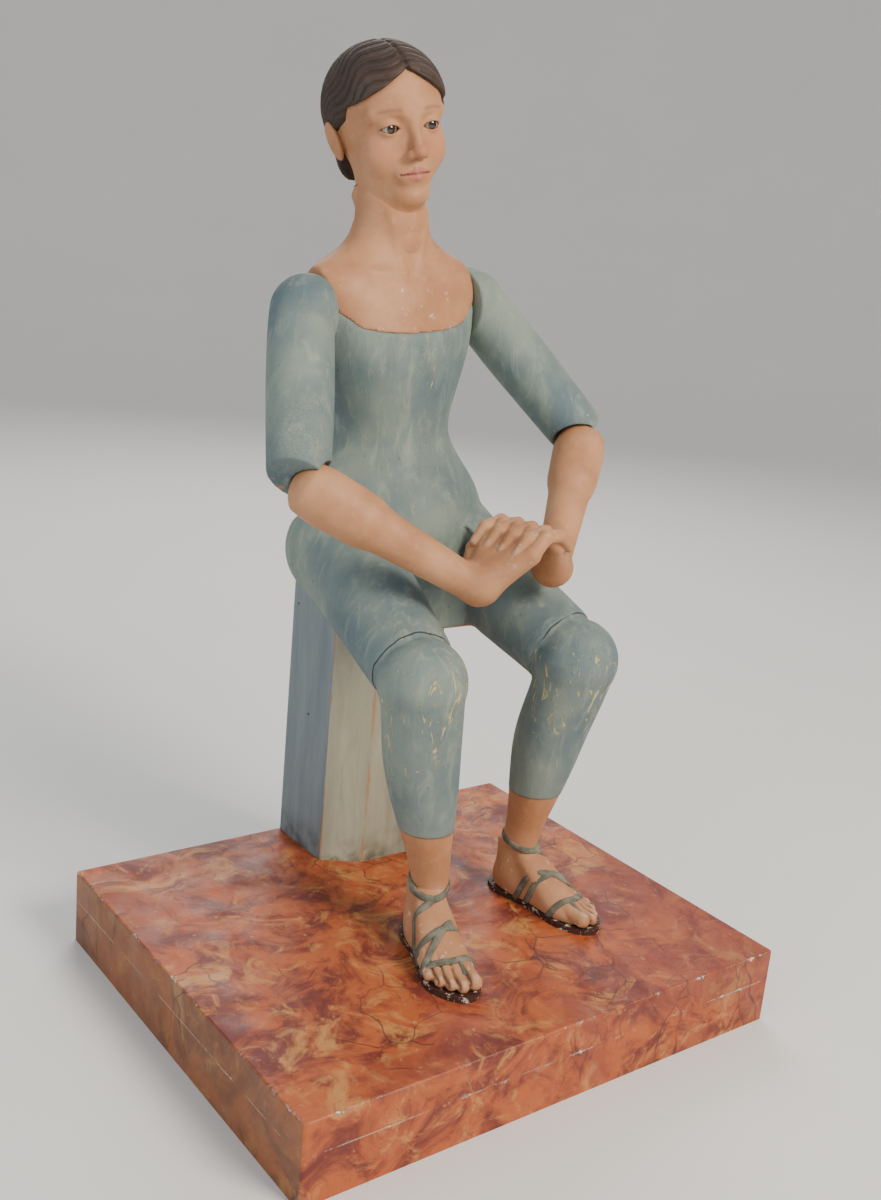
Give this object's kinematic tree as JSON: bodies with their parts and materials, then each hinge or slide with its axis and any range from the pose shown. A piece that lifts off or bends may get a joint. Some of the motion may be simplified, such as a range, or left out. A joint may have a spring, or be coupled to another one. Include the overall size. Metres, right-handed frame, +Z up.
{
  "type": "seated wooden mannequin figure",
  "caption": "Seated carved and painted wooden mannequin figure with clasped hands, sandals and movable arms, on a chamfered post and a marbled rectangular plinth.",
  "frame": {"origin": "centre of the plinth's underside; the head overhangs the plinth's back edge by about 5 mm, so the bounding box's bottom centre lies about 2.5 mm behind the origin", "axes": "+Z up, -Y the way the figure faces, -X towards the figure's right side"},
  "size_m": [0.38, 0.325, 0.6358],
  "materials": {
    "marbled_paint": "satin oil paint in orange and burgundy marbling, worn at the edges",
    "post_paint": "matt grey-green paint",
    "body_paint": "matt blue-green paint with worn streaks",
    "flesh_paint": "satin flesh-coloured paint",
    "hair_paint": "satin dark brown paint",
    "glass_eye": "polished dark glass",
    "bare_wood": "unpainted",
    "sole_leather": "dark, chipped at the rim",
    "strap_fabric": "stiff glued strip"
  },
  "bodies": {
    "seated_body": {"plinth_top_board": "marbled_paint", "plinth_front_rail": "marbled_paint", "plinth_back_rail": "marbled_paint", "plinth_right_rail": "marbled_paint", "plinth_left_rail": "marbled_paint", "plinth_corner_blocks": "bare_wood", "post_front_board": "post_paint", "post_right_board": "post_paint", "post_left_board": "post_paint", "post_back_board": "post_paint", "post_foot_block": "bare_wood", "post_seat_block": "bare_wood", "post_foot_dowels": "bare_wood", "body_seat_dowels": "bare_wood", "torso_core": "body_paint", "bust": "flesh_paint", "head_block": "hair_paint", "face_mask": "flesh_paint", "right_eye": "glass_eye", "left_eye": "glass_eye", "right_shoulder_peg": "bare_wood", "left_shoulder_peg": "bare_wood", "right_thigh": "body_paint", "right_knee_dowel": "bare_wood", "right_lower_leg": "body_paint", "right_sandal_sole": "sole_leather", "right_sandal_straps": "strap_fabric", "left_thigh": "body_paint", "left_knee_dowel": "bare_wood", "left_lower_leg": "body_paint", "left_sandal_sole": "sole_leather", "left_sandal_straps": "strap_fabric"},
    "right_arm": {"right_upper_arm": "body_paint", "right_elbow_peg": "bare_wood"},
    "left_arm": {"left_upper_arm": "body_paint", "left_elbow_peg": "bare_wood"},
    "clasped_forearms": {"right_forearm": "flesh_paint", "left_forearm": "flesh_paint", "wrist_dowels": "bare_wood", "clasped_hands": "flesh_paint"}
  },
  "joints": [
    {"name": "right_shoulder", "type": "hinge", "parent": "seated_body", "child": "right_arm", "pos_m": [-0.06767, 0.10027, 0.45727], "axis": [-0.9915, -0.1042, -0.0785], "range_deg": [-3, 60]},
    {"name": "left_shoulder", "type": "hinge", "parent": "seated_body", "child": "left_arm", "pos_m": [0.087, 0.11653, 0.46951], "axis": [-0.9915, -0.1042, -0.0785], "range_deg": [-3, 60]},
    {"name": "elbows", "type": "hinge", "parent": "right_arm", "child": "clasped_forearms", "pos_m": [-0.09055, 0.0213, 0.35087], "axis": [-0.9915, -0.1042, -0.0785], "range_deg": [-1, 22]}
  ],
  "couplings": [
    {"joint": "left_shoulder", "follows": "right_shoulder", "ratio": 1}
  ]
}
